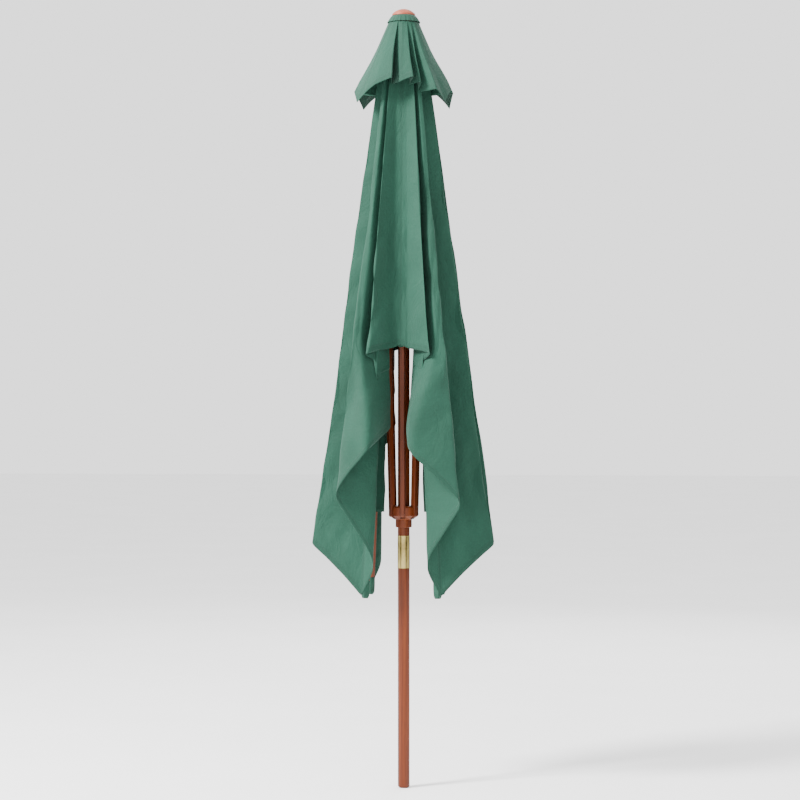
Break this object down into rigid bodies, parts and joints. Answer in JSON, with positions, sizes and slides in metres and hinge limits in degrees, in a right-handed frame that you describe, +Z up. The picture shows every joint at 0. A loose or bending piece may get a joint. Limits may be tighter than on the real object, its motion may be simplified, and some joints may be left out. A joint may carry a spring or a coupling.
{
  "type": "garden parasol",
  "caption": "Folded rectangular garden parasol: two-piece wooden pole, slotted runner and hub, wooden ribs and struts, green two-tier fabric canopy.",
  "frame": {"origin": "centre of the pole's bottom end", "axes": "+Z up the pole, +X along the canopy's long side, -Y towards middle rib 1"},
  "size_m": [0.5892, 0.487, 2.5],
  "materials": {
    "stained_wood": "satin stained hardwood",
    "finial_wood": "satin stained hardwood, lighter end grain",
    "brass": "satin lacquered brass",
    "steel": "bright zinc-plated",
    "canopy_fabric": "matt plain-weave polyester"
  },
  "bodies": {
    "lower_mast": {"lower_pole": "stained_wood"},
    "upper_mast": {"upper_pole": "stained_wood", "brass_ferrule": "brass", "ferrule_pins": "brass", "top_hub": "stained_wood", "hub_screws": "steel", "hub_pins": "steel", "finial": "finial_wood", "vent_crown": "canopy_fabric"},
    "rib_1": {"rib_1": "stained_wood", "bracket_1": "brass", "bracket_pin_1": "brass", "canopy_panel_1": "canopy_fabric", "vent_panel_1": "canopy_fabric"},
    "strut_1": {"strut_1": "stained_wood"},
    "rib_2": {"rib_2": "stained_wood", "bracket_2": "brass", "bracket_pin_2": "brass", "canopy_panel_2": "canopy_fabric", "vent_panel_2": "canopy_fabric"},
    "strut_2": {"strut_2": "stained_wood"},
    "rib_3": {"rib_3": "stained_wood", "bracket_3": "brass", "bracket_pin_3": "brass", "canopy_panel_3": "canopy_fabric", "vent_panel_3": "canopy_fabric"},
    "strut_3": {"strut_3": "stained_wood"},
    "rib_4": {"rib_4": "stained_wood", "bracket_4": "brass", "bracket_pin_4": "brass", "canopy_panel_4": "canopy_fabric", "vent_panel_4": "canopy_fabric"},
    "strut_4": {"strut_4": "stained_wood"},
    "rib_5": {"rib_5": "stained_wood", "bracket_5": "brass", "bracket_pin_5": "brass", "canopy_panel_5": "canopy_fabric", "vent_panel_5": "canopy_fabric"},
    "strut_5": {"strut_5": "stained_wood"},
    "rib_6": {"rib_6": "stained_wood", "bracket_6": "brass", "bracket_pin_6": "brass", "canopy_panel_6": "canopy_fabric", "vent_panel_6": "canopy_fabric"},
    "strut_6": {"strut_6": "stained_wood"},
    "runner": {"runner": "stained_wood", "runner_pins": "steel"},
    "lock_pin": {"lock_pin": "steel"}
  },
  "joints": [
    {"name": "mast_lift", "type": "slide", "parent": "lower_mast", "child": "upper_mast", "axis": [0, 0, 1], "range_m": [0, 0.05]},
    {"name": "canopy_open", "type": "hinge", "parent": "upper_mast", "child": "rib_1", "pos_m": [0, -0.042, 2.425], "axis": [-1, 0, 0], "range_deg": [0, 68.4]},
    {"name": "strut_1_pivot", "type": "hinge", "parent": "rib_1", "child": "strut_1", "pos_m": [0, -0.06361, 1.6513], "axis": [-1, 0, 0], "range_deg": [-136.8, 0]},
    {"name": "rib_2_pivot", "type": "hinge", "parent": "upper_mast", "child": "rib_2", "pos_m": [0.03495, -0.0233, 2.425], "axis": [-0.5547, -0.8321, 0], "range_deg": [0, 68.4]},
    {"name": "strut_2_pivot", "type": "hinge", "parent": "rib_2", "child": "strut_2", "pos_m": [0.05293, -0.03528, 1.6513], "axis": [-0.5547, -0.8321, 0], "range_deg": [-136.8, 0]},
    {"name": "rib_3_pivot", "type": "hinge", "parent": "upper_mast", "child": "rib_3", "pos_m": [0.03495, 0.0233, 2.425], "axis": [0.5547, -0.8321, 0], "range_deg": [0, 68.4]},
    {"name": "strut_3_pivot", "type": "hinge", "parent": "rib_3", "child": "strut_3", "pos_m": [0.05293, 0.03528, 1.6513], "axis": [0.5547, -0.8321, 0], "range_deg": [-136.8, 0]},
    {"name": "rib_4_pivot", "type": "hinge", "parent": "upper_mast", "child": "rib_4", "pos_m": [0, 0.042, 2.425], "axis": [1, 0, 0], "range_deg": [0, 68.4]},
    {"name": "strut_4_pivot", "type": "hinge", "parent": "rib_4", "child": "strut_4", "pos_m": [0, 0.06361, 1.6513], "axis": [1, 0, 0], "range_deg": [-136.8, 0]},
    {"name": "rib_5_pivot", "type": "hinge", "parent": "upper_mast", "child": "rib_5", "pos_m": [-0.03495, 0.0233, 2.425], "axis": [0.5547, 0.8321, 0], "range_deg": [0, 68.4]},
    {"name": "strut_5_pivot", "type": "hinge", "parent": "rib_5", "child": "strut_5", "pos_m": [-0.05293, 0.03528, 1.6513], "axis": [0.5547, 0.8321, 0], "range_deg": [-136.8, 0]},
    {"name": "rib_6_pivot", "type": "hinge", "parent": "upper_mast", "child": "rib_6", "pos_m": [-0.03495, -0.0233, 2.425], "axis": [-0.5547, 0.8321, 0], "range_deg": [0, 68.4]},
    {"name": "strut_6_pivot", "type": "hinge", "parent": "rib_6", "child": "strut_6", "pos_m": [-0.05293, -0.03528, 1.6513], "axis": [-0.5547, 0.8321, 0], "range_deg": [-136.8, 0]},
    {"name": "runner_pivot", "type": "hinge", "parent": "strut_1", "child": "runner", "pos_m": [0, -0.042, 0.8776], "axis": [-1, 0, 0], "range_deg": [0, 68.4]},
    {"name": "lock_pin_slide", "type": "slide", "parent": "runner", "child": "lock_pin", "axis": [0, -1, 0], "range_m": [0, 0.015]}
  ],
  "couplings": [
    {"joint": "strut_1_pivot", "follows": "canopy_open", "ratio": -2},
    {"joint": "rib_2_pivot", "follows": "canopy_open", "ratio": 1},
    {"joint": "strut_2_pivot", "follows": "canopy_open", "ratio": -2},
    {"joint": "rib_3_pivot", "follows": "canopy_open", "ratio": 1},
    {"joint": "strut_3_pivot", "follows": "canopy_open", "ratio": -2},
    {"joint": "rib_4_pivot", "follows": "canopy_open", "ratio": 1},
    {"joint": "strut_4_pivot", "follows": "canopy_open", "ratio": -2},
    {"joint": "rib_5_pivot", "follows": "canopy_open", "ratio": 1},
    {"joint": "strut_5_pivot", "follows": "canopy_open", "ratio": -2},
    {"joint": "rib_6_pivot", "follows": "canopy_open", "ratio": 1},
    {"joint": "strut_6_pivot", "follows": "canopy_open", "ratio": -2},
    {"joint": "runner_pivot", "follows": "canopy_open", "ratio": 1}
  ]
}
